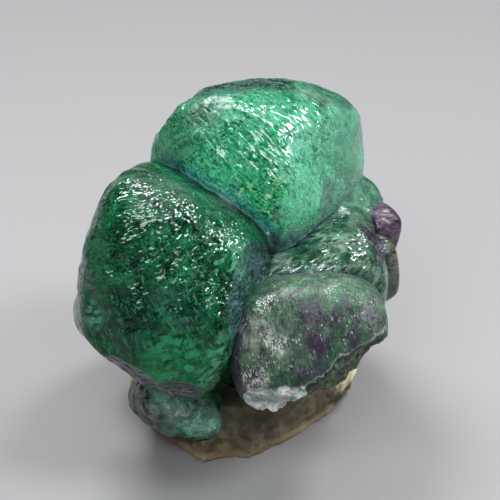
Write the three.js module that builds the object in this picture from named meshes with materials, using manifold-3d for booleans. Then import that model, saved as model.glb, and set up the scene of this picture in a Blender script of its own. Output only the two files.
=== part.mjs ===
// Fluorite cluster: rounded, domed cubes of fluorite grown together on a small
// wedge of matrix rock. Units are millimetres, +Z is up, the rock rests on z = 0.
//
// Two pieces: every crystal overlaps its neighbours, so the crystals are one
// joined solid, and the rock is the other, carved to the crystals' shape with a
// hairline gap between them.

import * as THREE from 'three';
import { mergeVertices } from 'three/addons/utils/BufferGeometryUtils.js';
import Module from 'manifold-3d';

const wasm = await Module();
wasm.setup();

// --- driving dimensions -----------------------------------------------------

const CONTACT_GAP = 0.35;        // hairline between the crystals and the rock
const MERGE_DISTANCE = 1e-4;     // points closer than this are one point

// A crystal is a cube with domed faces and rounded edges, given by its half sizes.
// `domes` is how much the faces across X, Y and Z bulge: at their rims they are lower
// than at their middles by about that share of the half size. `edge` is how sharply the
// faces meet: 2 makes a ball, large makes a knife edge. `taper` narrows the top.
// `corners` stretches (or blunts) the crystal towards single corners, as a share.
// `tilt`, `roll` and `yaw` are degrees about X, Y and Z, with the yaw done first.
// `facets` is the number of strips across each domed face.
const USUAL_DOMES = [0.25, 0.25, 0.25];
const USUAL_EDGE = 9;
const CRYSTALS = {
  upper: {
    centre: [2.5, 9.6, 33.2], half: [12.2, 12.9, 10.8], domes: [0.22, 0.25, 0.28], edge: 12,
    tilt: -10, roll: 4, yaw: -33, taper: 0.07, facets: 10,
    corners: [[1, 1, 1, 0.08], [1, -1, 1, 0.03], [-1, -1, 1, -0.04], [-1, 1, -1, 0.1], [-1, 1, 1, -0.06]],
  },
  lower_left: {
    centre: [-8.1, -7.2, 24.7], half: [11.1, 10.8, 11.8], domes: [0.22, 0.28, 0.16], edge: 13,
    tilt: -14, roll: 24, yaw: -6, facets: 10,
    corners: [[-1, -1, 1, 0.12], [-1, -1, -1, -0.08], [1, -1, -1, 0.1], [-1, 1, 1, 0.08], [1, -1, 1, -0.02]],
  },
  front: {
    centre: [8.5, -12.4, 19.1], half: [9.7, 7.6, 8.7], domes: [0.22, 0.22, 0.25], edge: 10,
    tilt: -20, roll: 6, yaw: -5, facets: 9,
  },
  middle: { centre: [11.0, -2.4, 22.9], half: [8.4, 7.6, 6.7], tilt: 8, roll: -14, yaw: 10, facets: 8 },
  shoulder: { centre: [14.9, 10.1, 25.2], half: [5.0, 5.2, 5.2], tilt: 0, roll: 40, yaw: 20, facets: 6 },
  knob: { centre: [20.5, 8.1, 23.7], half: [1.4, 1.8, 2.2], tilt: 0, roll: 0, yaw: 20, facets: 5 },
  side_blade: { centre: [18.4, 2.4, 21.4], half: [2.4, 2.3, 4.7], tilt: 0, roll: -6, yaw: 20, facets: 5 },
  foot: { centre: [-8.4, -6.6, 7.6], half: [6.4, 5.7, 4.8], tilt: -8, roll: 16, yaw: 8, facets: 6 },
  core: { centre: [3.0, 0.0, 15.5], half: [8.5, 8.0, 8.5], tilt: 5, roll: 10, yaw: 15, facets: 6 },
  back_right: { centre: [8.5, 12.0, 16.0], half: [8.8, 9.2, 9.2], tilt: 10, roll: -12, yaw: 20, facets: 8 },
  back_left: { centre: [-8.0, 9.0, 17.0], half: [9.2, 9.2, 9.8], tilt: 8, roll: 12, yaw: -35, facets: 8 },
  back_low: { centre: [1.0, 17.0, 9.0], half: [6.2, 6.2, 6.2], tilt: 0, roll: 12, yaw: 50, facets: 7 },
};
const CORNER_REACH = 6;          // how local a corner's stretch is: large is local

// The front crystal is broken off along its lower edge. Each break is a plane at
// `distance` from that crystal's centre, facing along `normal`.
const FRONT_BREAKS = [
  { normal: [0.351, -0.44, -0.826], distance: 5.8 },
  { normal: [0.733, -0.319, -0.6], distance: 5.9 },
];
const BREAK_BLOCK = 40;          // side of the block that takes the broken part away

// Outline of the rock where it meets the table, anticlockwise from its front tip.
const ROCK_OUTLINE = [
  [-4.7, -11.2], [-3.1, -10.4], [-1.1, -10.2], [1.5, -10.4], [2.5, -9.5],
  [4.6, -7.8], [7.6, -4.9], [11.0, -1.4], [13.4, 1.5], [15.2, 5.4], [15.5, 9.5],
  [11.5, 14.0], [4.0, 16.5], [-6.0, 15.0], [-12.5, 9.5], [-14.0, 2.0], [-10.8, -5.0],
];
// The rock's sections from the bottom up: height, and size relative to the outline.
const ROCK_SECTIONS = [
  { z: 0, size: 0.985 }, { z: 0.8, size: 1.0 }, { z: 4, size: 1.0 },
  { z: 8, size: 0.97 }, { z: 11, size: 0.86 }, { z: 12.5, size: 0.66 },
];

// --- shapes -----------------------------------------------------------------

function placement({ centre, tilt, roll, yaw }) {
  const turn = new THREE.Euler(...[tilt, roll, yaw].map(THREE.MathUtils.degToRad), 'XYZ');
  return new THREE.Matrix4().makeRotationFromEuler(turn).setPosition(...centre);
}

// How far along `ray` one domed face lies, in half sizes: the face across axis `i` is
// where |x_i| + dome (the other two squared) = 1.
function reachOfFace(ray, i, dome) {
  const along = Math.abs(ray.getComponent(i));
  const bulge = dome * (ray.lengthSq() - along * along);
  if (bulge < 1e-9) return 1 / along;
  return (Math.sqrt(along * along + 4 * bulge) - along) / (2 * bulge);
}

// The stretch of a crystal in one direction, from its list of corners.
function stretchTowards(ray, corners) {
  const towards = ray.clone().normalize();
  return corners.reduce((total, [x, y, z, amount]) => {
    const nearness = Math.max(0, towards.dot(new THREE.Vector3(x, y, z).normalize()));
    return total + amount * nearness ** CORNER_REACH;
  }, 1);
}

// A domed cube: a box of small facets pushed out to where its six domed faces meet.
function domedCube(crystal, grown = 0) {
  const { half, domes = USUAL_DOMES, edge = USUAL_EDGE, taper = 0, corners = [], facets } = crystal;
  const [a, b, c] = half.map((h) => h + grown);
  const geometry = new THREE.BoxGeometry(2, 2, 2, facets, facets, facets);
  const place = placement(crystal);
  const points = geometry.attributes.position;
  const v = new THREE.Vector3();
  const spread = (t) => Math.tan(t * Math.PI / 4);   // evens out the facets
  for (let i = 0; i < points.count; i++) {
    v.fromBufferAttribute(points, i);
    v.set(spread(v.x), spread(v.y), spread(v.z));
    const reach = domes.reduce((sum, dome, k) => sum + reachOfFace(v, k, dome) ** -edge, 0) ** (-1 / edge);
    v.multiplyScalar(reach * stretchTowards(v, corners));
    const narrowing = 1 - taper * v.z;
    v.set(v.x * a * narrowing, v.y * b * narrowing, v.z * c).applyMatrix4(place);
    points.setXYZ(i, v.x, v.y, v.z);
  }
  return geometry;
}

// The rock: its outline stacked in sections, closed flat at the bottom.
function rockBody() {
  const count = ROCK_OUTLINE.length;
  const centre = ROCK_OUTLINE.reduce(([x, y], [u, v]) => [x + u / count, y + v / count], [0, 0]);
  const positions = [];
  for (const { z, size } of ROCK_SECTIONS) {
    for (const [x, y] of ROCK_OUTLINE) {
      positions.push(centre[0] + (x - centre[0]) * size, centre[1] + (y - centre[1]) * size, z);
    }
  }
  const bottom = positions.length / 3;
  positions.push(...centre, ROCK_SECTIONS[0].z);
  const top = bottom + 1;
  positions.push(...centre, ROCK_SECTIONS[ROCK_SECTIONS.length - 1].z);
  const triangles = [];
  const lastRing = (ROCK_SECTIONS.length - 1) * count;
  for (let i = 0; i < count; i++) {
    const next = (i + 1) % count;
    for (let ring = 0; ring < lastRing; ring += count) {
      triangles.push(ring + i, ring + next, ring + count + next);
      triangles.push(ring + i, ring + count + next, ring + count + i);
    }
    triangles.push(bottom, next, i, top, lastRing + i, lastRing + next);
  }
  const geometry = new THREE.BufferGeometry();
  geometry.setAttribute('position', new THREE.Float32BufferAttribute(positions, 3));
  geometry.setIndex(triangles);
  return geometry;
}

// A large block lying just outside a break plane of the front crystal.
function breakBlock({ normal, distance }) {
  const outward = new THREE.Vector3(...normal).normalize();
  const turn = new THREE.Quaternion().setFromUnitVectors(new THREE.Vector3(0, 0, 1), outward);
  const centre = new THREE.Vector3(...CRYSTALS.front.centre)
    .addScaledVector(outward, distance + BREAK_BLOCK / 2);
  return new THREE.BoxGeometry(BREAK_BLOCK, BREAK_BLOCK, BREAK_BLOCK)
    .applyQuaternion(turn)
    .translate(centre.x, centre.y, centre.z);
}

// --- solids and meshes ------------------------------------------------------

function toSolid(geometry) {
  const bare = geometry.clone();
  bare.deleteAttribute('normal');
  bare.deleteAttribute('uv');
  const merged = mergeVertices(bare, MERGE_DISTANCE);
  return new wasm.Manifold(new wasm.Mesh({
    numProp: 3,
    vertProperties: new Float32Array(merged.attributes.position.array),
    triVerts: new Uint32Array(merged.index.array),
  }));
}

function toMesh(name, solid, material) {
  const { vertProperties, triVerts } = solid.getMesh();
  const geometry = new THREE.BufferGeometry();
  geometry.setAttribute('position', new THREE.BufferAttribute(new Float32Array(vertProperties), 3));
  geometry.setIndex(new THREE.BufferAttribute(new Uint32Array(triVerts), 1));
  geometry.computeVertexNormals();
  const mesh = new THREE.Mesh(geometry, material);
  mesh.name = name;
  return mesh;
}

// All the crystals as one solid; `grown` makes each a little larger all round.
function crystalSolid(grown = 0) {
  let joined = null;
  for (const [name, crystal] of Object.entries(CRYSTALS)) {
    let solid = toSolid(domedCube(crystal, grown));
    if (name === 'front') {
      for (const { normal, distance } of FRONT_BREAKS) {
        solid = solid.subtract(toSolid(breakBlock({ normal, distance: distance + grown })));
      }
    }
    joined = joined ? joined.add(solid) : solid;
  }
  return joined;
}

const crystals = crystalSolid();
const rock = toSolid(rockBody()).subtract(crystalSolid(CONTACT_GAP));

const group = new THREE.Group();
group.name = 'phantom_fluorite_cluster';
group.add(
  toMesh('fluorite_crystals', crystals, new THREE.MeshStandardMaterial({
    name: 'green_fluorite', color: 0x2f8f66, roughness: 0.3, metalness: 0,
  })),
  toMesh('matrix', rock, new THREE.MeshStandardMaterial({
    name: 'grey_brown_rock', color: 0x6b6656, roughness: 0.85, metalness: 0,
  })),
);

export default group;
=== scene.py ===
import math

import bpy
import numpy as np
from mathutils import Matrix, Vector


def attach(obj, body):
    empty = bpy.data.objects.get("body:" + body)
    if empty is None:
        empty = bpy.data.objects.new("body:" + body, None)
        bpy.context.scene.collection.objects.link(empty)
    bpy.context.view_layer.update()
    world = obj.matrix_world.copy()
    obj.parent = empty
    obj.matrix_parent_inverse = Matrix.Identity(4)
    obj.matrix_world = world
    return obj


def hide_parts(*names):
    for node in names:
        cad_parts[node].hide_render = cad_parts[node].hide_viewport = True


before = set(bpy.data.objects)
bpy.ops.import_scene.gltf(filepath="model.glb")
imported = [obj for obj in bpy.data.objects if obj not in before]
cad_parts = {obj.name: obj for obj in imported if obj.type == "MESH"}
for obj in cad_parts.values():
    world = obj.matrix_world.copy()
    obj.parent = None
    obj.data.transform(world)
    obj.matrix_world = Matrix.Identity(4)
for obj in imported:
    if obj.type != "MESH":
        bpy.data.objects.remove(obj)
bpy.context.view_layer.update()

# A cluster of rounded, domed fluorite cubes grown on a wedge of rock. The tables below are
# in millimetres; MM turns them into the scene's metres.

MM = 0.001

# --- crystals -----------------------------------------------------------------------
# Each is a cube with domed faces: its `centre`, its `half` sizes, how much its three pairs
# of faces bulge (`domes`), how sharply they meet (`edge`), its `turn` as (tilt, roll, yaw)
# in degrees, how much it narrows towards the top (`taper`), and `corners` that are
# stretched or blunted: a direction and an amount. `facets` is how many lie along one edge.
# `bevels` are narrow faces along an edge: outward normal, depth, raggedness, tint.
# `breaks` are faces where it is broken off: outward normal, distance from its centre, kind.
# `seam_with` is the one neighbour that its seam tint of painted shade follows; with None it is
# all.

ROUND = (0.25, 0.25, 0.25)
PURPLE_GREY = (0.68, 0.38, 0.76)
BLUE_GREY = (0.26, 0.44, 0.56)
EDGE_GREEN = (0.10, 0.42, 0.30)
USUAL = dict(domes=(0.19, 0.19, 0.19), edge=16, taper=0.0, corners=(), bevels=(), breaks=(),
             seam_with=None)
CRYSTALS = {
    "upper": dict(
        centre=(2.5, 9.6, 33.2), half=(12.2, 12.9, 10.8), domes=(0.22, 0.25, 0.28), edge=19,
        turn=(-10, 4, -33), taper=0.07, facets=120, seam_with="lower_left",
        corners=((1, 1, 1, 0.08), (1, -1, 1, 0.03), (-1, -1, 1, 0.01), (-1, 1, -1, 0.10),
                 (-1, 1, 1, -0.06), (1, -1, -1, 0.07)),
        bevels=(((-0.71, 0.33, 0.62), 1.3, 0.42, EDGE_GREEN),)),
    "lower_left": dict(
        centre=(-8.4, -7.2, 24.7), half=(11.4, 10.8, 11.8), domes=(0.27, 0.28, 0.16), edge=22,
        turn=(-14, 24, -6), facets=120, seam_with="upper",
        corners=((-1, -1, 1, 0.19), (-1, -1, -1, -0.11), (1, -1, -1, 0.11), (-1, 1, 1, 0.13),
                 (1, -1, 1, -0.02)),
        bevels=(((-0.12, -0.82, -0.56), 1.1, 0.30, PURPLE_GREY),
                ((-0.50, -0.62, -0.60), 1.0, 0.30, PURPLE_GREY),
                ((0.86, -0.50, 0.05), 1.1, 0.15, BLUE_GREY))),
    "front": dict(
        centre=(8.5, -12.4, 19.1), half=(9.7, 7.5, 8.6), domes=(0.18, 0.17, 0.22), edge=13,
        turn=(-20, -3, -5), facets=120, seam_with="middle",
        corners=((1, -1, 1, 0.05), (-1, -1, 1, -0.05)),
        breaks=(((0.60, -0.66, -0.45), 5.9, "ledge"), ((-0.10, -0.87, -0.48), 8.0, "broken"),
                ((0.351, -0.44, -0.826), 5.8, "ledge"), ((0.733, -0.319, -0.6), 5.9, "ledge"))),
    "middle": dict(
        centre=(9.2, -2.4, 22.3), half=(10.0, 7.6, 6.7), domes=(0.20, 0.24, 0.13), edge=10,
        turn=(10, -14, 8), facets=104),
    "shoulder": dict(
        centre=(12.2, 8.5, 25.0), half=(6.4, 6.2, 6.3), domes=(0.15, 0.15, 0.12), edge=9,
        turn=(27, 40, 10), facets=80),
    "knob": dict(
        centre=(18.2, 6.9, 24.5), half=(2.4, 2.9, 3.7), domes=(0.13, 0.13, 0.14), edge=11,
        turn=(6, 10, 34), facets=48),
    "side_blade": dict(
        centre=(17.9, 2.2, 21.4), half=(2.6, 2.7, 4.7), domes=(0.12, 0.14, 0.12), edge=9,
        turn=(8, -8, 30), facets=56),
    "foot": dict(
        centre=(-7.6, -6.8, 7.6), half=(6.4, 5.7, 4.8), domes=ROUND, edge=9,
        turn=(-8, 16, 8), facets=88,
        corners=((-1, -1, 1, 0.10), (1, -1, 1, -0.14), (-1, -1, -1, -0.10), (1, -1, -1, 0.10))),
    "core": dict(
        centre=(3.0, 0.0, 15.5), half=(8.5, 8.0, 8.5), turn=(5, 10, 15), facets=48),
    "back_right": dict(
        centre=(8.5, 12.0, 16.0), half=(8.8, 9.2, 9.2), turn=(10, -12, 20), facets=88),
    "back_left": dict(
        centre=(-8.0, 9.0, 17.0), half=(9.2, 9.2, 9.8), turn=(8, 12, -35), facets=88),
    "back_low": dict(
        centre=(1.0, 17.0, 9.0), half=(6.2, 6.2, 6.2), turn=(0, 12, 50), facets=64),
}
CORNER_REACH = 6                 # how local a corner's stretch is: large is local
LEAST_REACH = 0.2                # keeps a division from running away
CUT_SOFTNESS = 0.15              # how wide the rim of a cut face is, in mm
BEVEL_RAGGED_SIZE = 3.0          # how long the waves along a bevel are, in mm
BREAK_RAGGED = 0.5               # how ragged the broken faces are, in mm
BREAK_WAVE_SIZE = 2.6
BREAK_CHIP_SIZE = (1.4, 1.2, 1.0)
BREAK_CHIP_SHARE = 0.6
BREAK_SEEDS = (5, 8)             # of the waves and of the chips
FAR = 9.0                        # farther than any distance that matters

# The way the small growth plates lie on each crystal, as (tilt, roll, yaw), and the height
# of the broad swells, the plates and the flakes on them, in mm.
RELIEF = {
    "upper": dict(grain=(0, 35, -33), swell=0.40, plate=0.09, flake=0.03),
    "lower_left": dict(grain=(0, -22, -10), swell=0.50, plate=0.10, flake=0.02),
    "front": dict(grain=(0, 75, -5), swell=0.30, plate=0.08, flake=0.04),
    "middle": dict(grain=(0, -30, 10), swell=0.30, plate=0.09, flake=0.03),
    "foot": dict(grain=(0, -15, 0), swell=0.75, plate=0.22, flake=0.06),
}
USUAL_RELIEF = dict(grain=(0, 20, 15), swell=0.30, plate=0.14, flake=0.06)
FULL_RELIEF_HALF = 6             # a crystal with a smaller half size has a lower relief
SWELL_SIZE = 6.0
PLATE_SIZE = (2.2, 1.2, 1.0)     # along the grain, and across it twice
PLATE_SWAY = 0.5                 # how far the rows of plates sway, in mm
PLATE_SWAY_SIZE = 3.0
PLATE_SLOPE = 0.18               # the share of a plate that its sloping border takes
FLAKE_SIZE = (1.1, 0.6, 0.5)
FIRST_SEED = 11
SEED_STEP = 13
BEVEL_SEED = 31                  # added to the crystal's own seed


def turn_of(angles):
    """A turn from (tilt, roll, yaw): yaw first, then roll, then tilt."""
    tilt, roll, yaw = (math.radians(a) for a in angles)
    return (Matrix.Rotation(tilt, 3, "X") @ Matrix.Rotation(roll, 3, "Y")
            @ Matrix.Rotation(yaw, 3, "Z"))


# --- seeded noise on arrays of points -------------------------------------------------

def hash01(cells, seed):
    """A repeatable random number from 0 to 1 for each whole-number cell."""
    c = cells.astype(np.int64).astype(np.uint64)
    h = (c[:, 0] * np.uint64(73856093)) ^ (c[:, 1] * np.uint64(19349663)) \
        ^ (c[:, 2] * np.uint64(83492791)) ^ np.uint64(seed * 2654435761 % 2**32)
    h = (h ^ (h >> np.uint64(15))) * np.uint64(2246822519)
    h = (h ^ (h >> np.uint64(13))) * np.uint64(3266489917)
    h = h ^ (h >> np.uint64(16))
    return (h & np.uint64(0xFFFFFF)).astype(np.float64) / float(0xFFFFFF)


def soft_noise(points, size, seed):
    """Smooth noise from -1 to 1 with blobs about `size` across."""
    p = points / np.asarray(size)
    base = np.floor(p)
    f = p - base
    f = f * f * (3 - 2 * f)
    total = np.zeros(len(p))
    for dx in (0, 1):
        for dy in (0, 1):
            for dz in (0, 1):
                w = (f[:, 0] if dx else 1 - f[:, 0]) * (f[:, 1] if dy else 1 - f[:, 1]) \
                    * (f[:, 2] if dz else 1 - f[:, 2])
                total += w * hash01(base + (dx, dy, dz), seed)
    return total * 2 - 1


def layered_noise(points, size, seed, layers=3):
    total, amount = np.zeros(len(points)), 1.0
    for k in range(layers):
        total += amount * soft_noise(points, size / 2**k, seed + 17 * k)
        amount *= 0.5
    return total


def cell_noise(points, size, seed):
    """The random number of the nearest cell, and the distance to the border with the next."""
    p = points / np.asarray(size)
    base = np.floor(p)
    near = np.full(len(p), FAR)
    second = np.full(len(p), FAR)
    value = np.zeros(len(p))
    for dx in (-1, 0, 1):
        for dy in (-1, 0, 1):
            for dz in (-1, 0, 1):
                cell = base + (dx, dy, dz)
                spot = cell + np.stack([hash01(cell, seed + k) for k in (1, 2, 3)], 1)
                d = np.sqrt(((spot - p) ** 2).sum(1))
                closer = d < near
                second = np.where(closer, near, np.minimum(second, d))
                near = np.where(closer, d, near)
                value = np.where(closer, hash01(cell, seed + 4), value)
    return value, second - near


def smooth_step(values, low, high):
    t = np.clip((values - low) / (high - low), 0, 1)
    return t * t * (3 - 2 * t)


# --- the shape of a domed cube ----------------------------------------------------------

def shape_of(name):
    return {**USUAL, **CRYSTALS[name]}


def relief_of(name):
    return RELIEF.get(name, USUAL_RELIEF)


def unit(direction):
    return np.array(direction) / np.linalg.norm(direction)


def reach_along(rays, shape):
    """How far the domed cube reaches along each ray, in lengths of that ray."""
    squares = (rays ** 2).sum(1)
    faces = []
    for axis, dome in enumerate(shape["domes"]):
        along = np.abs(rays[:, axis])
        bulge = np.maximum(dome * (squares - along ** 2), 1e-9)
        faces.append((np.sqrt(along ** 2 + 4 * bulge) - along) / (2 * bulge))
    reach = (np.stack(faces, 1) ** -shape["edge"]).sum(1) ** (-1 / shape["edge"])
    towards = rays / np.sqrt(squares)[:, None]
    stretch = np.ones(len(rays))
    for *corner, amount in shape["corners"]:
        nearness = np.clip(towards @ (np.array(corner) / math.sqrt(3)), 0, 1)
        stretch += amount * nearness ** CORNER_REACH
    return reach * stretch


def domed(rays, shape, grown=0.0):
    """Pushes points of a cube from -1 to 1 out onto the crystal, in its own millimetres."""
    v = np.tan(rays * math.pi / 4)
    v = v * reach_along(v, shape)[:, None]
    out = v * (np.array(shape["half"]) + grown)
    out[:, :2] *= (1 - shape["taper"] * v[:, 2])[:, None]
    return out


def placed(points, shape):
    """Takes points from a crystal's own millimetres to the cluster's."""
    return points @ np.array(turn_of(shape["turn"])).T + np.array(shape["centre"])


def height_above(points, name):
    """About how far points of the cluster lie outside a crystal's plain surface, in mm."""
    shape = shape_of(name)
    local = (points - np.array(shape["centre"])) @ np.array(turn_of(shape["turn"]))
    rays = local / np.array(shape["half"])
    rays[:, :2] /= (1 - shape["taper"] * rays[:, 2])[:, None]
    reach = reach_along(rays, shape)
    return (1 - reach) * np.linalg.norm(local, axis=1) / np.maximum(reach, LEAST_REACH)


def plates(points, size, seed):
    """Flat-topped plates at random heights from -0.5 to 0.5, sloping at their borders."""
    value, border = cell_noise(points, size, seed)
    return (value - 0.5) * smooth_step(border, 0, PLATE_SLOPE)


# --- meshes -----------------------------------------------------------------------------

def clear_selection():
    if bpy.context.object and bpy.context.object.mode != "OBJECT":
        bpy.ops.object.mode_set(mode="OBJECT")
    bpy.ops.object.select_all(action="DESELECT")


def select_only(piece):
    clear_selection()
    bpy.context.view_layer.objects.active = piece
    piece.select_set(True)


def apply_modifiers(piece):
    select_only(piece)
    for modifier in list(piece.modifiers):
        bpy.ops.object.modifier_apply(modifier=modifier.name)


def read_points(mesh):
    co = np.empty(len(mesh.vertices) * 3)
    mesh.vertices.foreach_get("co", co)
    return co.reshape(-1, 3)


def read_normals(mesh):
    normals = np.empty(len(mesh.vertices) * 3)
    mesh.vertices.foreach_get("normal", normals)
    return normals.reshape(-1, 3)


def write_points(mesh, points):
    mesh.vertices.foreach_set("co", np.ascontiguousarray(points).ravel())
    mesh.update()


def keep_number(mesh, label, values):
    """Stores one number for each vertex, for the material to read."""
    numbers = mesh.attributes.new(label, "FLOAT", "POINT")
    numbers.data.foreach_set("value", np.ascontiguousarray(values))


def cube_of_facets(name, facets):
    """A cube from -1 to 1, each face cut into a grid."""
    clear_selection()
    bpy.ops.mesh.primitive_cube_add(size=2)
    piece = bpy.context.object
    piece.name = piece.data.name = name
    bpy.ops.object.mode_set(mode="EDIT")
    bpy.ops.mesh.select_all(action="SELECT")
    bpy.ops.mesh.subdivide(number_cuts=facets // 2 - 1)
    bpy.ops.mesh.subdivide(number_cuts=1)
    bpy.ops.object.mode_set(mode="OBJECT")
    bpy.ops.object.shade_smooth()
    return piece


# --- building the crystals ------------------------------------------------------------

def cut_flat(points, outward, beyond):
    """Presses what lies beyond a plane back onto it, and says where, from 0 to 1."""
    points -= np.maximum(beyond, 0)[:, None] * outward
    return smooth_step(beyond, -CUT_SOFTNESS, CUT_SOFTNESS)


def cut_bevels(mesh, points, shape, seed):
    for number, (normal, depth, ragged, _) in enumerate(shape["bevels"]):
        outward = unit(normal)
        beyond = (points - np.array(shape["centre"])) @ outward
        wave = layered_noise(points, BEVEL_RAGGED_SIZE, seed)
        beyond -= beyond.max() - depth + ragged * wave
        keep_number(mesh, f"bevel_{number}", cut_flat(points, outward, beyond))


def cut_breaks(mesh, points, shape):
    cuts = {kind: np.zeros(len(points)) for *_, kind in shape["breaks"]}
    for normal, distance, kind in shape["breaks"]:
        outward = unit(normal)
        wave = layered_noise(points, BREAK_WAVE_SIZE, BREAK_SEEDS[0], 4)
        chips = plates(points, BREAK_CHIP_SIZE, BREAK_SEEDS[1])
        ragged = BREAK_RAGGED * (wave + BREAK_CHIP_SHARE * chips)
        beyond = (points - np.array(shape["centre"])) @ outward - distance - ragged
        cuts[kind] = np.maximum(cuts[kind], cut_flat(points, outward, beyond))
    for kind, amount in cuts.items():
        keep_number(mesh, kind, amount)


def relief_height(points, relief, seed):
    """How far swells, plates and flakes stand out of the surface, in mm."""
    grain = points @ np.array(turn_of(relief["grain"]))
    sway = PLATE_SWAY * soft_noise(points, PLATE_SWAY_SIZE, seed + 1)[:, None]
    return (relief["swell"] * layered_noise(points, SWELL_SIZE, seed)
            + relief["plate"] * plates(grain + sway, PLATE_SIZE, seed + 2)
            + relief["flake"] * plates(grain, FLAKE_SIZE, seed + 9))


def keep_seams(mesh, points, name):
    """Stores how far each point is from the nearest neighbour, and from the chosen one."""
    seam = np.full(len(points), FAR)
    for other in CRYSTALS:
        if other != name:
            seam = np.minimum(seam, np.maximum(height_above(points, other), 0))
    keep_number(mesh, "seam", seam)
    chosen = shape_of(name)["seam_with"]
    if chosen:
        keep_number(mesh, "one_seam", np.maximum(height_above(points, chosen), 0))


def make_crystal(name, seed):
    shape = shape_of(name)
    piece = cube_of_facets(name, shape["facets"])
    mesh = piece.data
    points = placed(domed(read_points(mesh), shape), shape)
    cut_bevels(mesh, points, shape, seed + BEVEL_SEED)
    cut_breaks(mesh, points, shape)
    write_points(mesh, points)
    small = min(1.0, min(shape["half"]) / FULL_RELIEF_HALF)
    height = small * relief_height(points, relief_of(name), seed)
    points += read_normals(mesh) * height[:, None]
    keep_seams(mesh, points, name)
    write_points(mesh, points * MM)
    return piece


pieces = {}
for index, name in enumerate(CRYSTALS):
    pieces[name] = make_crystal(name, FIRST_SEED + SEED_STEP * index)


# --- the rock ---------------------------------------------------------------------------

ROCK_OUTLINE = (
    (-4.7, -11.2), (-3.1, -10.4), (-1.1, -10.2), (1.5, -10.4), (2.5, -9.5),
    (4.6, -7.8), (7.6, -4.9), (11.0, -1.4), (13.4, 1.5), (15.2, 5.4), (15.5, 9.5),
    (11.5, 14.0), (4.0, 16.5), (-6.0, 15.0), (-12.5, 9.5), (-14.0, 2.0), (-10.8, -5.0),
)
# Heights of the rock's sections, and their sizes relative to the outline.
ROCK_SECTIONS = ((0, 0.985), (0.8, 1.0), (4, 1.0), (8, 0.97), (11, 0.86), (12.5, 0.66))
ROCK_VOXEL = 0.32
ROCK_SWELL = 0.55                # how high its swells and chips are, and how broad, in mm
ROCK_SWELL_SIZE = 5.0
ROCK_CHIP = 0.25
ROCK_CHIP_SIZE = (2.2, 1.8, 1.4)
ROCK_SEED = 71
FLAT_FOOT = (0.1, 1.2)           # below the first height it stays flat, above the next not
OUTLINE_WAVE = 0.4               # how far the foot's outline wanders, in mm
OUTLINE_WAVE_SIZE = 3.0
# Where the rock bulges out beside the crystals or is hollow: middle, radius, height.
ROCK_BUMPS = (((-13.4, -2.6, 7.0), 4.0, 2.8), ((14.6, 4.0, 7.0), 6.5, 1.9),
              ((-0.5, -10.5, 10.6), 4.2, -3.6))
BUMP_WAVE = 1.2                  # how far a bump's border wanders, in mm
BUMP_WAVE_SIZE = 2.5
BUMP_TOP = 0.2                   # the share of a bump's radius that is full height
CRYSTALS_ON_ROCK = ("lower_left", "front", "foot", "core", "back_right", "back_left", "back_low")
CUTTER_FACETS = 24
CUTTER_GROWTH = -0.15            # the crystals sit this deep in the rock, in mm
SHARP_ANGLE = math.radians(40)   # edges that turn more than this stay sharp


def rock_block():
    """The outline pushed up through its sections, remeshed fine enough for a relief."""
    clear_selection()
    bpy.ops.mesh.primitive_circle_add(vertices=len(ROCK_OUTLINE), radius=1, fill_type="NGON")
    piece = bpy.context.object
    piece.name = piece.data.name = "matrix_rock"
    middle = np.mean(ROCK_OUTLINE, 0)
    for vertex, (x, y) in zip(piece.data.vertices, ROCK_OUTLINE):
        vertex.co = (x, y, 0)
    bpy.ops.object.mode_set(mode="EDIT")
    bpy.ops.mesh.select_all(action="SELECT")
    bpy.ops.transform.resize(value=(ROCK_SECTIONS[0][1],) * 2 + (1,), center_override=(*middle, 0))
    for (low, size), (high, next_size) in zip(ROCK_SECTIONS, ROCK_SECTIONS[1:]):
        bpy.ops.mesh.extrude_region_move(TRANSFORM_OT_translate=dict(value=(0, 0, high - low)))
        bpy.ops.transform.resize(value=(next_size / size,) * 2 + (1,),
                                 center_override=(*middle, high))
    bpy.ops.mesh.select_all(action="SELECT")
    bpy.ops.mesh.normals_make_consistent(inside=False)
    bpy.ops.object.mode_set(mode="OBJECT")
    remesh = piece.modifiers.new("fine", "REMESH")
    remesh.mode = "VOXEL"
    remesh.voxel_size = ROCK_VOXEL
    apply_modifiers(piece)
    return piece


def roughen_rock(mesh):
    """Swells, chips, bumps and a wandering outline; the resting face stays flat."""
    points, normals = read_points(mesh), read_normals(mesh)
    lifted = smooth_step(points[:, 2], *FLAT_FOOT)
    height = ROCK_SWELL * layered_noise(points, ROCK_SWELL_SIZE, ROCK_SEED, 4)
    height += ROCK_CHIP * plates(points, ROCK_CHIP_SIZE, ROCK_SEED + 1)
    for bump, radius, rise in ROCK_BUMPS:
        wave = BUMP_WAVE * layered_noise(points, BUMP_WAVE_SIZE, ROCK_SEED + 6)
        near = wave - np.linalg.norm(points - np.array(bump), axis=1)
        height += rise * smooth_step(near, -radius, -BUMP_TOP * radius)
    sideways = normals * (1, 1, 0) * (1 - lifted)[:, None]
    wander = OUTLINE_WAVE * layered_noise(points, OUTLINE_WAVE_SIZE, ROCK_SEED + 4)
    points += normals * (height * lifted)[:, None] + sideways * wander[:, None]
    write_points(mesh, points)


def seat_crystals(piece):
    """Cuts the crystals' seats out of the rock."""
    cutters = []
    for name in CRYSTALS_ON_ROCK:
        shape = shape_of(name)
        cutter = cube_of_facets("cutter_" + name, CUTTER_FACETS)
        inside = domed(read_points(cutter.data), shape, CUTTER_GROWTH)
        write_points(cutter.data, placed(inside, shape))
        carve = piece.modifiers.new(name, "BOOLEAN")
        carve.operation = "DIFFERENCE"
        carve.solver = "MANIFOLD"
        carve.object = cutter
        cutters.append(cutter)
    apply_modifiers(piece)
    for cutter in cutters:
        bpy.data.objects.remove(cutter)


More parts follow.
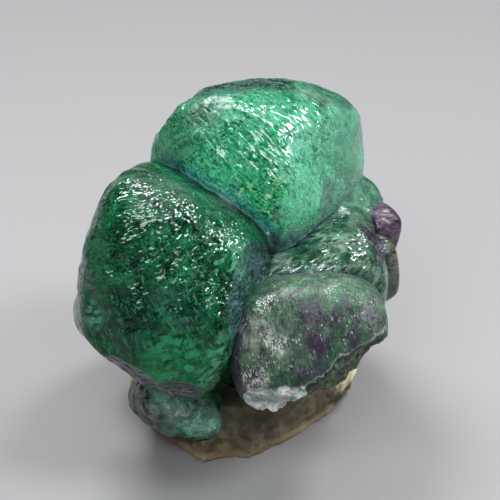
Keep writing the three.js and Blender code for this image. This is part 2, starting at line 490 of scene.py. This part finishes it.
def make_rock():
    piece = rock_block()
    roughen_rock(piece.data)
    seat_crystals(piece)
    select_only(piece)
    bpy.ops.object.shade_smooth_by_angle(angle=SHARP_ANGLE)
    piece.data.materials.clear()
    write_points(piece.data, read_points(piece.data) * MM)
    return piece


rock = make_rock()

# --- shader maths ---------------------------------------------------------------------

class Shade:
    """A socket in a shader: sums of numbers written with it add their Math nodes."""

    def __init__(self, sheet, socket):
        self.sheet = sheet
        self.socket = socket

    def math(self, operation, first, second):
        return self.sheet.add("ShaderNodeMath", dict(operation=operation), [first, second])

    def __add__(self, other):
        return self.math("ADD", self, other)

    def __radd__(self, other):
        return self.math("ADD", other, self)

    def __mul__(self, other):
        return self.math("MULTIPLY", self, other)

    def __rmul__(self, other):
        return self.math("MULTIPLY", other, self)

    def __sub__(self, other):
        return self.math("SUBTRACT", self, other)

    def __rsub__(self, other):
        return self.math("SUBTRACT", other, self)

    def larger(self, other):
        return self.math("MAXIMUM", self, other)

    def ramp(self, low, high):
        """0 at low, 1 at high, smooth between."""
        return self.sheet.add("ShaderNodeMapRange", dict(interpolation_type="SMOOTHSTEP"),
                              {"Value": self, "From Min": low, "From Max": high})


class Sheet:
    """The node sheet of one material."""

    def __init__(self, name):
        self.material = bpy.data.materials.new(name)
        self.material.use_nodes = True
        self.tree = self.material.node_tree
        self.shader = self.tree.nodes["Principled BSDF"]
        self.output = self.tree.nodes["Material Output"]

    def add(self, kind, settings, values, out=0):
        """Adds a node: its settings first, then the numbers or links of its sockets."""
        node = self.tree.nodes.new(kind)
        for key, value in settings.items():
            setattr(node, key, value)
        pairs = values.items() if isinstance(values, dict) else enumerate(values)
        for key, value in pairs:
            self.put(node.inputs[key], value)
        return Shade(self, node.outputs[out])

    def put(self, socket, value):
        if isinstance(value, Shade):
            self.tree.links.new(value.socket, socket)
        elif socket.type == "RGBA":
            socket.default_value = (*value[:3], 1)
        else:
            socket.default_value = value

    def mix(self, amount, first, second):
        """A colour between two others."""
        factor, first_colour, second_colour, mixed = 0, 6, 7, 2     # the sockets of colours
        return self.add("ShaderNodeMix", dict(data_type="RGBA"),
                        {factor: amount, first_colour: first, second_colour: second}, mixed)

    def vector(self, operation, *values, out=0):
        return self.add("ShaderNodeVectorMath", dict(operation=operation), values, out)

    def scaled(self, vector, amount):
        return self.add("ShaderNodeVectorMath", dict(operation="SCALE"),
                        {"Vector": vector, "Scale": amount})

    def part(self, vector, axis):
        return self.add("ShaderNodeSeparateXYZ", {}, {"Vector": vector}, axis)

    def noise(self, place, size, detail=2.0, rough=0.5):
        """Soft noise, 0 to 1, with blobs about `size` mm across."""
        return self.add("ShaderNodeTexNoise", {}, {"Vector": place, "Scale": 1 / size,
                                                   "Detail": detail, "Roughness": rough})

    def cells(self, place, size, out, finer=1.0):
        """Random cells of that size in mm: the colour of each, or how far its middle is."""
        return self.add("ShaderNodeTexVoronoi", dict(feature="F1"),
                        {"Vector": self.vector("DIVIDE", place, size), "Scale": finer}, out)

    def near(self, place, centre, radius, core):
        """1 around a centre, 0 from the radius on; `core` is the share that is full."""
        far = self.vector("DISTANCE", place, centre, out="Value")
        return far.ramp(radius, radius * core)

    def kept(self, label):
        """A number stored on the mesh."""
        return self.add("ShaderNodeAttribute", dict(attribute_name=label), {}, "Fac")

    def millimetres(self, turn=(0, 0, 0)):
        """The place on the piece in mm, seen along turned axes."""
        where = self.add("ShaderNodeTexCoord", {}, {}, "Object")
        turned = turn_of(turn).to_euler("XYZ")
        return self.add("ShaderNodeMapping", dict(vector_type="TEXTURE"),
                        {"Vector": where, "Rotation": turned, "Scale": (MM, MM, MM)})


# --- the looks of the fluorite ----------------------------------------------------------
# Colours are linear; places, radii and widths are in mm. For each crystal:
#   clouds          the two colours that drift through it
#   mosaic, flecks, grit   how much broad patches, the small plates and the fine grain
#                   differ in light
#   seam, lip       colour, width and strength of the broad and of the narrow tint where it
#                   meets its neighbours, or None: the broad seam is painted shade where
#                   crystals meet; the narrow lip is a rim tint, on the upper crystal painted
#                   light and on the middle one painted shade
#   absorb, density the colour and density of what it absorbs; `clear` is how much it lets
#                   through, 0 to 1
#   rough, tip      its roughness, and how far the small plates tip its surface
#   plates          how large those plates are, 1 being usual
#   lively          where the plates tip the most: middle, radius
#   dull            duller areas: middle, radius, extra roughness
#   faces           tints of whole sides: direction in its own axes, colour, strength
#   zones           patches of colour: middle, radius, colour, strength
#   streaks         colour and strength of upright streaks, or None
#   sparks          areas of painted glints and inner reflections, as bright chips: middle,
#                   radius, colour; `fine` is how much finer than usual the chips are
#   needles         short fine lines: the way they lie, size, strength, colour
#   cracks          areas of hair-like healed cracks: middle, radius, colour
#   specks          how strong its white specks are

TEAL = (0.03, 0.20, 0.22)
INDIGO = (0.05, 0.07, 0.16)
PURPLE = (0.05, 0.03, 0.07)
LILAC = (0.26, 0.30, 0.42)
FROST = (0.66, 0.70, 0.68)
BRIGHT = (0.01, 0.42, 0.15)
DARK = (0.003, 0.03, 0.015)
MINT = (0.40, 0.86, 0.64)

LOOKS = {
    "upper": dict(
        clouds=((0.015, 0.30, 0.14), (0.13, 0.54, 0.36)), mosaic=0.5, flecks=1.4, grit=0.9,
        # Its blue seam with the lower left crystal is its rim tint and painted shade; its pale lip
        # is painted light.
        seam=((0.05, 0.14, 0.26), 3.0, 0.9), lip=((0.55, 0.64, 0.72), 0.7, 0.8),
        absorb=(0.25, 0.85, 0.68), density=60, clear=0.85, rough=0.06, tip=0.22, plates=1.15,
        lively=((3.5, 2.5, 42.0), 13),
        dull=(((-3.5, 4.0, 42.6), 5.5, 0.26),),
        faces=(((1, 0, 0), (0.42, 0.95, 0.72), 0.8),),
        needles=(((0, -50, -20), (2.4, 0.30, 0.30), 0.8, MINT),
                 ((0, 30, -40), (2.0, 0.27, 0.27), 0.7, MINT),
                 ((0, -20, 10), (1.8, 0.25, 0.25), 0.7, MINT)),
        cracks=(((2.5, -3.5, 36.5), 5.5, (0.85, 0.98, 0.62)),),
        zones=(((-1.0, 10.8, 43.3), 7.2, (0.004, 0.003, 0.02), 0.97),
               ((4.2, 11.4, 44.0), 6.2, (0.004, 0.006, 0.02), 0.97),
               ((-2.2, 7.0, 43.7), 2.8, TEAL, 0.8),
               ((-4.0, 3.9, 42.4), 3.0, (0.34, 0.40, 0.36), 0.6),
               # The frost patch on the top is a painted highlight where it faces the light.
               ((9.7, 8.0, 43.0), 3.5, FROST, 0.5),
               ((3.9, -4.1, 36.0), 3.4, (0.005, 0.36, 0.10), 0.9),
               ((-0.6, -3.4, 34.5), 2.4, TEAL, 0.9),
               ((6.4, -3.7, 29.6), 3.0, LILAC, 0.6),
               ((-9.8, 5.6, 36.9), 5.5, (0.20, 0.60, 0.42), 0.8))),
    "lower_left": dict(
        clouds=((0.005, 0.08, 0.032), (0.03, 0.29, 0.13)), mosaic=0.7, flecks=1.2, grit=0.6,
        # Its near-black seam with the upper crystal is painted shade.
        seam=((0.002, 0.006, 0.010), 6.0, 0.9), lip=(LILAC, 0.3, 0.5),
        absorb=(0.03, 0.81, 0.42), density=110, clear=0.8, rough=0.06, tip=0.26, plates=0.75,
        lively=((-7.5, -13.5, 34.0), 16),
        streaks=((0.0, 0.09, 0.05), 0.6),
        needles=(((0, 70, 0), (2.4, 0.28, 0.28), 0.9, (0.17, 0.56, 0.38)),
                 ((0, -20, 30), (1.8, 0.24, 0.24), 0.8, BRIGHT)),
        # The first zone is a painted glow of light coming through its foot.
        zones=(((-7.5, -18.6, 19.0), 8.5, (0.0, 0.40, 0.13), 0.75),
               ((-6.0, -17.8, 27.6), 3.6, (0.0, 0.07, 0.05), 0.6),
               ((-12.5, -17.0, 26.0), 4.5, (0.0, 0.05, 0.025), 0.7),
               # This bright zone is a painted inner reflection.
               ((0.0, -14.0, 31.5), 2.8, BRIGHT, 0.9),
               ((-0.6, -16.5, 27.0), 3.2, DARK, 0.6),
               ((-3.5, -15.0, 33.5), 2.6, DARK, 0.4),
               # This grey zone is a painted sheen, the reflection of the light on its top.
               ((-9.0, -10.5, 38.4), 5.5, (0.20, 0.27, 0.24), 0.85),
               ((-16.5, -13.0, 32.0), 5.0, (0.10, 0.40, 0.22), 0.7),
               ((-12.0, -17.6, 24.5), 3.0, (0.0, 0.06, 0.05), 0.8)),
        # These bright chips are painted glints and inner reflections.
        painted_glints=(((-0.8, -14.0, 31.5), 3.4, (0.40, 1.0, 0.70)),
                ((-8.3, -18.2, 27.2), 3.0, (0.07, 0.50, 0.42)),
                ((-17.4, -14.5, 24.4), 2.2, (0.45, 1.0, 0.75)),
                ((-1.5, -18.6, 20.5), 5.0, (0.30, 0.95, 0.60)),
                ((-7.0, -18.6, 20.5), 6.0, (0.08, 0.66, 0.34)))),
    "front": dict(
        clouds=((0.028, 0.12, 0.055), (0.085, 0.15, 0.10)), mosaic=0.5, flecks=0.3, grit=0.5,
        seam=(FROST, 0.3, 0.7), lip=None,
        absorb=(0.45, 0.75, 0.60), density=50, clear=0.5, rough=0.44, tip=0.20, plates=0.5,
        lively=((3.0, -17.0, 24.0), 30), fine=3.2, specks=0.6,
        faces=(((-1, 0, 0), (0.12, 0.08, 0.18), 0.6),),
        streaks=((0.045, 0.035, 0.07), 0.8),
        # These pale chips are painted glints.
        painted_glints=(((4.4, -18.2, 22.3), 2.2, (0.62, 0.72, 0.64)),
                ((2.4, -18.9, 18.6), 2.6, (0.56, 0.56, 0.57)),
                ((3.2, -15.2, 26.9), 1.6, (0.70, 0.80, 0.72))),
        zones=(((1.8, -17.2, 23.2), 3.2, (0.34, 0.38, 0.33), 0.75),
               ((15.0, -16.5, 25.0), 3.0, (0.20, 0.17, 0.22), 0.6),
               ((12.3, -16.1, 26.8), 1.2, (0.03, 0.008, 0.04), 0.9),
               ((4.5, -18.5, 22.0), 1.6, (0.42, 0.50, 0.44), 0.6),
               ((9.2, -17.5, 26.0), 2.3, PURPLE, 0.8),
               ((9.3, -19.2, 22.6), 2.4, PURPLE, 0.9),
               ((9.9, -20.4, 19.0), 2.7, PURPLE, 0.9),
               ((0.3, -18.0, 18.3), 1.8, PURPLE, 0.9),
               ((2.6, -19.4, 18.0), 2.0, (0.36, 0.36, 0.34), 0.7))),
    "middle": dict(
        clouds=((0.04, 0.15, 0.09), (0.22, 0.36, 0.27)), mosaic=0.6, flecks=1.2,
        # Its dark lip is a painted shade line where it meets its neighbours.
        lip=(DARK, 0.3, 0.7),
        absorb=(0.25, 0.78, 0.55), density=70, clear=0.7, rough=0.10, tip=0.28, plates=1.5,
        lively=((8.0, -6.5, 28.5), 14),
        zones=(((15.4, -8.7, 25.9), 4.0, (0.20, 0.34, 0.24), 0.7),
               ((17.2, -3.0, 28.0), 3.2, (0.05, 0.03, 0.07), 0.9))),
    "shoulder": dict(
        clouds=((0.07, 0.26, 0.15), (0.15, 0.39, 0.26)), flecks=0.5, seam=None, lip=None,
        absorb=(0.3, 0.8, 0.6), density=70, clear=0.75, rough=0.26, tip=0.2,
        zones=(((19.0, 5.0, 26.0), 4.0, (0.16, 0.12, 0.18), 0.9),)),
    "knob": dict(
        clouds=((0.07, 0.035, 0.07), (0.20, 0.14, 0.19)), mosaic=0.3, flecks=0.5,
        absorb=(0.5, 0.3, 0.6), density=200, clear=0.5, rough=0.36, tip=0.24, plates=1.4),
    "side_blade": dict(
        clouds=((0.14, 0.18, 0.13), (0.24, 0.26, 0.20)), flecks=0.4,
        absorb=(0.6, 0.7, 0.5), density=120, clear=0.75, rough=0.18, tip=0.2,
        zones=(((18.6, 1.5, 17.8), 2.4, (0.50, 0.46, 0.26), 0.8),)),
    "foot": dict(
        clouds=((0.09, 0.34, 0.24), (0.40, 0.80, 0.64)), mosaic=0.6, flecks=0.4, grit=0.4,
        absorb=(0.4, 0.78, 0.65), density=70, clear=0.7, rough=0.18, tip=0.16,
        streaks=((0.75, 0.88, 0.78), 0.4),
        zones=(((-12.4, -10.0, 8.6), 6.0, (0.004, 0.003, 0.010), 0.97),
               ((-8.0, -12.3, 8.8), 1.8, (0.70, 0.82, 0.72), 0.8),
               # This pale zone is partly its pale streaks, partly painted light against the shade
               # of the crystal above.
               ((-4.8, -11.9, 6.4), 3.6, (0.40, 0.92, 0.70), 0.7))),
}
USUAL_LOOK = dict(
    clouds=((0.015, 0.20, 0.10), (0.10, 0.38, 0.24)), mosaic=0.6, flecks=0.6, grit=0.6,
    # The usual seam is painted shade where crystals meet.
    seam=(INDIGO, 1.0, 0.6), lip=(LILAC, 0.3, 0.4),
    absorb=(0.15, 0.80, 0.55), density=80, clear=0.8, rough=0.12, tip=0.22, plates=1.0,
    lively=((0, 0, 20), 60), dull=(), faces=(), zones=(), streaks=None, painted_glints=(), fine=1.0,
    needles=(), cracks=(), specks=0.0)
FLUORITE_IOR = 1.434
LEDGE_COLOURS = ((0.05, 0.10, 0.06), (0.16, 0.20, 0.14))
BROKEN_COLOURS = ((0.42, 0.54, 0.52), (1.0, 1.0, 1.0))

# Sizes, in mm, of what all crystals have, each along the grain or upright and across.
TIPPED_PLATES = (((1.9, 0.38, 0.34), 1.0), ((1.0, 0.21, 0.19), 0.9))    # size, share of tip
CLOUD_SIZE = 4.0
PATCH_SIZE = 1.7
GRIT_SIZE = 0.25
STREAK_SHAPE = (1.0, 1.0, 4.5)
STREAK_SIZE = 1.3
BEVEL_LINE_SHAPE = (2.5, 1.0, 0.5)
BEVEL_LINE_SIZE = 0.7
CHIP_SIZE = (1.1, 0.5, 0.5)
SPECK_SIZE = (0.7, 0.3, 0.3)
NEEDLE_AREA_SIZE = 1.6
CRACK_AREA_SIZE = 1.0
SPECK_AREA_SIZE = 1.5
LIVELY_AREA_SIZE = 3.0
ROUGH_AREA_SIZE = 1.2
CRACKS_PER_MM = 0.5

# Each pattern is ramped between two values: it is 0 at the first and 1 at the second.
CLOUD_EDGES = (0.40, 0.60)
PATCH_EDGES = (0.38, 0.62)
SIDE_EDGES = (0.45, 0.75)
STREAK_EDGES = (0.46, 0.66)
BEVEL_LINE_EDGES = (0.42, 0.58)
CHIP_EDGES = (0.58, 0.66)
NEEDLE_EDGES = (0.42, 0.26)
NEEDLE_AREAS = (0.34, 0.48)
CRACK_EDGES = (0.06, 0.02)
CRACK_AREAS = (0.48, 0.56)
SPECK_EDGES = (0.0, 0.05)
SPECK_AREAS = (0.42, 0.66)
LIVELY_AREAS = (0.35, 0.60)
ROUGH_AREAS = (0.35, 0.70)

# How far a slow sway carries the patterns to and fro, in mm.
SWAYS_PER_MM = 0.35
CLOUD_SWAY = 5.0
STREAK_SWAY = 2.0
NEEDLE_SWAY = 1.5
CRACK_SWAY = 3.0

# How much of a patch's radius is full, and how the light of a crystal varies.
LIVELY_CORE = 0.6
ZONE_CORE = 0.35
SPARK_CORE = 0.3
CRACK_CORE = 0.5
DULL_CORE = 0.5
FLECK_LIGHT = 1.3
GRIT_LIGHT = 2.6
MOSAIC_LIGHT = 1.2
LEAST_LIGHT = 0.28
LEAST_TIP = 0.4                  # how much of their tip the plates keep in quiet areas
ROUGH_SPREAD = 0.08
SPECK_REACH = 0.34               # how large the white specks grow, in cells
BEVEL_SHADE = 0.25               # how dark the lines on a bevel are beside its tint
BEVEL_STRENGTH = 0.9
LEDGE_STRENGTH = 0.85
LEDGE_RIM = 1.8
BROKEN_STRENGTH = 0.95
MIDWAY = (0.5, 0.5, 0.5)


def look_of(name):
    return {**USUAL_LOOK, **LOOKS.get(name, {})}


def tipped_plates(sheet, grain, normal, look, lively):
    """Tips the normal plate by plate, on plates and on finer flakes; also a random number
    for each flake."""
    tips = []
    for size, share in TIPPED_PLATES:
        flake = sheet.cells(grain, [side * look["plates"] for side in size], "Color")
        lean = sheet.vector("SUBTRACT", flake, MIDWAY)
        tips.append(sheet.scaled(lean, lively * (2 * look["tip"] * share)))
    glint = sheet.vector("ADD", normal, sheet.vector("ADD", *tips))
    return sheet.vector("NORMALIZE", glint), sheet.part(flake, "X")


def body_colour(sheet, look, shape, place, sway, drifted, normal):
    """Drifting clouds, then sides, zones, streaks and bevels of their own tint."""
    cloud = sheet.noise(drifted, CLOUD_SIZE, 4.0, 0.6).ramp(*CLOUD_EDGES)
    colour = sheet.mix(cloud, *look["clouds"])
    for axis, tint, strength in look["faces"]:
        facing = sheet.vector("DOT_PRODUCT", normal, turn_of(shape["turn"]) @ Vector(axis),
                              out="Value")
        colour = sheet.mix(facing.ramp(*SIDE_EDGES) * strength, colour, tint)
    for centre, radius, tint, strength in look["zones"]:
        zone = sheet.near(drifted, centre, radius, ZONE_CORE)
        colour = sheet.mix(zone * strength, colour, tint)
    if look["streaks"]:
        tint, strength = look["streaks"]
        swayed = sheet.vector("ADD", place, sheet.scaled(sway, STREAK_SWAY))
        upright = sheet.vector("DIVIDE", swayed, STREAK_SHAPE)
        streak = sheet.noise(upright, STREAK_SIZE, 4.0, 0.65).ramp(*STREAK_EDGES)
        colour = sheet.mix(streak * strength, colour, tint)
    for number, (*_, tint) in enumerate(shape["bevels"]):
        along = sheet.vector("DIVIDE", place, BEVEL_LINE_SHAPE)
        line = sheet.noise(along, BEVEL_LINE_SIZE, 3.0, 0.6).ramp(*BEVEL_LINE_EDGES)
        striped = sheet.mix(line, [BEVEL_SHADE * part for part in tint], tint)
        colour = sheet.mix(sheet.kept(f"bevel_{number}") * BEVEL_STRENGTH, colour, striped)
    return colour


def inner_marks(sheet, look, colour, place, grain, sway, drifted):
    """Bright chips that are painted glints and inner reflections, needles and hair-like healed
    cracks.
    """
    # Painted glints and inner reflections, as bright chips.
    for centre, radius, tint in look["painted_glints"]:
        around = sheet.near(drifted, centre, radius, SPARK_CORE)
        chips = sheet.cells(grain, CHIP_SIZE, "Color", look["fine"])
        chosen = sheet.part(chips, "Y").ramp(*CHIP_EDGES)
        colour = sheet.mix(around * chosen, colour, tint)
    for way, size, strength, tint in look["needles"]:
        bent = sheet.vector("ADD", sheet.millimetres(way), sheet.scaled(sway, NEEDLE_SWAY))
        needle = sheet.cells(bent, size, "Distance").ramp(*NEEDLE_EDGES)
        where = sheet.noise(place, NEEDLE_AREA_SIZE).ramp(*NEEDLE_AREAS)
        colour = sheet.mix(needle * where * strength, colour, tint)
    for centre, radius, tint in look["cracks"]:
        around = sheet.near(drifted, centre, radius, CRACK_CORE)
        swayed = sheet.vector("ADD", place, sheet.scaled(sway, CRACK_SWAY))
        wall = sheet.add("ShaderNodeTexVoronoi", dict(feature="DISTANCE_TO_EDGE"),
                         {"Vector": swayed, "Scale": CRACKS_PER_MM}, "Distance")
        some = sheet.noise(place, CRACK_AREA_SIZE).ramp(*CRACK_AREAS)
        colour = sheet.mix(around * wall.ramp(*CRACK_EDGES) * some, colour, tint)
    return colour


def white_specks(sheet, strength, colour, grain, drifted):
    spots = sheet.cells(grain, SPECK_SIZE, "Distance")
    many = sheet.noise(drifted, SPECK_AREA_SIZE, 3.0).ramp(*SPECK_AREAS) * SPECK_REACH
    return sheet.mix((many - spots).ramp(*SPECK_EDGES) * strength, colour, FROST)


def broken_faces(sheet, colour, patch, light):
    """A dark ledge with a pale rim, and a white, freshly broken face."""
    ledge = sheet.kept("ledge")
    broken = sheet.kept("broken")
    dark = sheet.scaled(sheet.mix(patch, *LEDGE_COLOURS), light)
    colour = sheet.mix(ledge * LEDGE_STRENGTH, colour, dark)
    colour = sheet.mix(ledge * (1 - ledge) * LEDGE_RIM, colour, FROST)
    return sheet.mix(broken * BROKEN_STRENGTH, colour, sheet.mix(patch, *BROKEN_COLOURS))


def fluorite(name):
    look, shape = look_of(name), shape_of(name)
    sheet = Sheet("fluorite_" + name)
    place = sheet.millimetres()
    grain = sheet.millimetres(relief_of(name)["grain"])
    normal = sheet.add("ShaderNodeNewGeometry", {}, {}, "Normal")
    close = sheet.near(place, *look["lively"], LIVELY_CORE)
    some = sheet.noise(place, LIVELY_AREA_SIZE).ramp(*LIVELY_AREAS)
    lively = (some * (1 - LEAST_TIP) + LEAST_TIP) * (close * (1 - LEAST_TIP) + LEAST_TIP)
    glint, fleck = tipped_plates(sheet, grain, normal, look, lively)

    slow = sheet.add("ShaderNodeTexNoise", {},
                     {"Vector": place, "Scale": SWAYS_PER_MM, "Detail": 3.0}, "Color")
    sway = sheet.vector("SUBTRACT", slow, MIDWAY)
    drifted = sheet.vector("ADD", place, sheet.scaled(sway, CLOUD_SWAY))
    colour = body_colour(sheet, look, shape, place, sway, drifted, normal)

    patch = sheet.noise(drifted, PATCH_SIZE, 4.0, 0.65).ramp(*PATCH_EDGES)
    grit = sheet.noise(place, GRIT_SIZE, 3.0, 0.65)
    light = (fleck - 0.5) * lively * (FLECK_LIGHT * look["flecks"])
    light = light + (grit - 0.5) * (GRIT_LIGHT * look["grit"])
    light = light + (patch - 0.5) * (MOSAIC_LIGHT * look["mosaic"])
    light = (light + 1).larger(LEAST_LIGHT)
    colour = sheet.scaled(colour, light)

    colour = inner_marks(sheet, look, colour, place, grain, sway, drifted)
    # The broad seam band is painted shade where crystals meet; the lip is a rim tint, on some
    # crystals painted light and on others painted shade.
    chosen = "one_seam" if shape["seam_with"] else "seam"
    for label, band in ((chosen, look["seam"]), ("seam", look["lip"])):
        if band:
            tint, width, strength = band
            edge = sheet.kept(label).ramp(width, 0)
            colour = sheet.mix(edge * strength, colour, sheet.scaled(tint, light))
    if look["specks"]:
        colour = white_specks(sheet, look["specks"], colour, grain, drifted)
    if shape["breaks"]:
        colour = broken_faces(sheet, colour, patch, light)

    uneven = sheet.noise(place, ROUGH_AREA_SIZE, 3.0).ramp(*ROUGH_AREAS)
    rough = uneven * ROUGH_SPREAD + look["rough"]
    for centre, radius, extra in look["dull"]:
        rough = rough + sheet.near(drifted, centre, radius, DULL_CORE) * extra
    sheet.put(sheet.shader.inputs["Base Color"], colour)
    sheet.put(sheet.shader.inputs["Normal"], glint)
    sheet.put(sheet.shader.inputs["Roughness"], rough)
    sheet.put(sheet.shader.inputs["IOR"], FLUORITE_IOR)
    sheet.put(sheet.shader.inputs["Transmission Weight"], look["clear"])
    body = sheet.add("ShaderNodeVolumeAbsorption", {},
                     {"Color": look["absorb"], "Density": look["density"]})
    sheet.put(sheet.output.inputs["Volume"], body)
    return sheet.material


# --- the looks of the rock ---------------------------------------------------------------

ROCK_COLOURS = ((0.048, 0.039, 0.023), (0.135, 0.113, 0.070))
MOTTLE_SIZE = 2.5
MOTTLE_EDGES = (0.35, 0.65)
# Painted light by height: a painted warm glow at its foot and painted shade up under the crystals;
# for each, the height where it starts and where it is full, strength, colour.
PAINTED_GLOW_AND_SHADE_BY_HEIGHT = ((1.8, 0.3, 0.55, (0.26, 0.20, 0.125)), (3.0, 9.0, 0.5, (0.05, 0.045, 0.03)))
ROCK_SPECK = (0.015, 0.013, 0.010)
ROCK_SPECK_SIZE = 0.5
ROCK_SPECK_EDGES = (0.62, 0.70)
ROCK_SPECK_STRENGTH = 0.5
CREAM_COLOURS = ((0.42, 0.38, 0.22), (0.70, 0.66, 0.44))
CREAM_PATCHES = (((16.0, 3.0, 7.0), 6.5), ((-15.0, -3.0, 7.0), 4.2))    # middle, radius
CREAM_CORE = 0.6
CREAM_WANDER = 3.0               # how far a cream patch's border wanders, in mm
CREAM_WANDER_SIZE = 3.5
CREAM_EDGES = (0.40, 0.55)
ROCK_GRAIN_SIZE = 0.35
ROCK_GRAIN_DEPTH = 0.3
ROCK_GRAIN_STRENGTH = 0.5
ROCK_ROUGHNESS = 0.65
ROCK_ROUGHNESS_SPREAD = 0.15


def rock_finish():
    """Mottled brown-grey with cream skin; a painted warm glow at its foot, painted shade under the
    crystals.
    """
    sheet = Sheet("brown_grey_rock")
    place = sheet.millimetres()
    mottle = sheet.noise(place, MOTTLE_SIZE, 4.0, 0.6).ramp(*MOTTLE_EDGES)
    colour = sheet.mix(mottle, *ROCK_COLOURS)
    height = sheet.part(place, "Z")
    # Painted warm light at the foot, painted shade up under the crystals.
    for start, full, strength, tint in PAINTED_GLOW_AND_SHADE_BY_HEIGHT:
        colour = sheet.mix(height.ramp(start, full) * strength, colour, tint)
    specks = sheet.noise(place, ROCK_SPECK_SIZE).ramp(*ROCK_SPECK_EDGES)
    colour = sheet.mix(specks * ROCK_SPECK_STRENGTH, colour, ROCK_SPECK)
    pale = sheet.noise(place, CREAM_WANDER_SIZE, 3.0).ramp(*CREAM_EDGES)
    for centre, radius in CREAM_PATCHES:
        far = sheet.vector("DISTANCE", place, centre, out="Value") + (1 - pale) * CREAM_WANDER
        cream = sheet.mix(mottle, *CREAM_COLOURS)
        colour = sheet.mix(far.ramp(radius, radius * CREAM_CORE), colour, cream)
    grain = sheet.noise(place, ROCK_GRAIN_SIZE, 4.0, 0.65)
    bump = sheet.add("ShaderNodeBump", {}, {"Height": grain, "Strength": ROCK_GRAIN_STRENGTH,
                                            "Distance": ROCK_GRAIN_DEPTH * MM})
    sheet.put(sheet.shader.inputs["Base Color"], colour)
    sheet.put(sheet.shader.inputs["Normal"], bump)
    sheet.put(sheet.shader.inputs["Roughness"], mottle * ROCK_ROUGHNESS_SPREAD + ROCK_ROUGHNESS)
    return sheet.material


for name, piece in pieces.items():
    piece.data.materials.append(fluorite(name))
    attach(piece, "root")
    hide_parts("fluorite_crystals")

rock.data.materials.append(rock_finish())
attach(rock, "root")
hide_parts("matrix")

# --- the studio, in metres ----------------------------------------------------------------

FLOOR_SIZE = 3.0
FLOOR_PLACE = (0, 0.6, 0)
FLOOR_COLOUR = (0.163, 0.163, 0.168)
FLOOR_ROUGHNESS = 0.6
MIDDLE = Vector((0.0, 0.0, 0.024))
# Soft boxes: name, direction from the cluster's middle, distance, size, radiance.
SOFT_BOXES = (
    ("window", (-0.05, 0.45, 0.89), 0.50, 0.40, 1.0),
    ("over_light", (0.46, 0.33, 0.82), 0.60, 0.16, 42),
    ("ridge_light", (0.60, -0.22, 0.74), 0.60, 0.18, 38),
    ("far_light", (-0.32, 0.42, 0.84), 0.40, 0.19, 20),
    ("left_light", (-0.21, -0.64, 0.72), 0.40, 0.24, 10),
    ("right_fill", (0.90, -0.15, 0.40), 0.60, 0.40, 1.8),
)
SKY_COLOUR = (0.95, 0.96, 1.0, 1)
SKY_STRENGTH = 0.16
CAMERA_AIM = Vector((1.5, 0.0, 25.4)) * MM
CAMERA_DISTANCE = 177.8 * MM
CAMERA_RISE = math.radians(28)
CAMERA_LENS = 100                # in mm, like the width of the sensor
CAMERA_SENSOR = 36
CAMERA_NEAREST = 0.01


def add_floor():
    clear_selection()
    bpy.ops.mesh.primitive_plane_add(size=FLOOR_SIZE, location=FLOOR_PLACE)
    plane = bpy.context.object
    plane.name = "floor"
    sheet = Sheet("pale_floor")
    sheet.put(sheet.shader.inputs["Base Color"], FLOOR_COLOUR)
    sheet.put(sheet.shader.inputs["Roughness"], FLOOR_ROUGHNESS)
    plane.data.materials.append(sheet.material)
    return plane


def add_soft_box(name, towards, distance, size, radiance):
    """A round light that faces the cluster's middle."""
    place = MIDDLE + Vector(towards).normalized() * distance
    light = bpy.data.lights.new(name, "AREA")
    light.shape = "DISK"
    light.size = size
    light.energy = radiance * math.pi * math.pi * size * size / 4
    lamp = bpy.data.objects.new(name, light)
    bpy.context.scene.collection.objects.link(lamp)
    lamp.location = place
    lamp.rotation_euler = (MIDDLE - place).to_track_quat("-Z", "Y").to_euler()


def add_sky():
    world = bpy.data.worlds.new("studio")
    bpy.context.scene.world = world
    world.use_nodes = True
    background = world.node_tree.nodes["Background"]
    background.inputs["Color"].default_value = SKY_COLOUR
    background.inputs["Strength"].default_value = SKY_STRENGTH


def add_camera():
    data = bpy.data.cameras.new("camera")
    data.sensor_width = CAMERA_SENSOR
    data.lens = CAMERA_LENS
    data.clip_start = CAMERA_NEAREST
    camera = bpy.data.objects.new("camera", data)
    bpy.context.scene.collection.objects.link(camera)
    away = Vector((0, -math.cos(CAMERA_RISE), math.sin(CAMERA_RISE)))
    camera.location = CAMERA_AIM + CAMERA_DISTANCE * away
    camera.rotation_euler = (math.pi / 2 - CAMERA_RISE, 0, 0)
    bpy.context.scene.camera = camera


floor = add_floor()
for soft_box in SOFT_BOXES:
    add_soft_box(*soft_box)
add_sky()
add_camera()
bpy.context.scene.view_settings.view_transform = "Standard"
bpy.context.scene.view_settings.look = "Medium High Contrast"
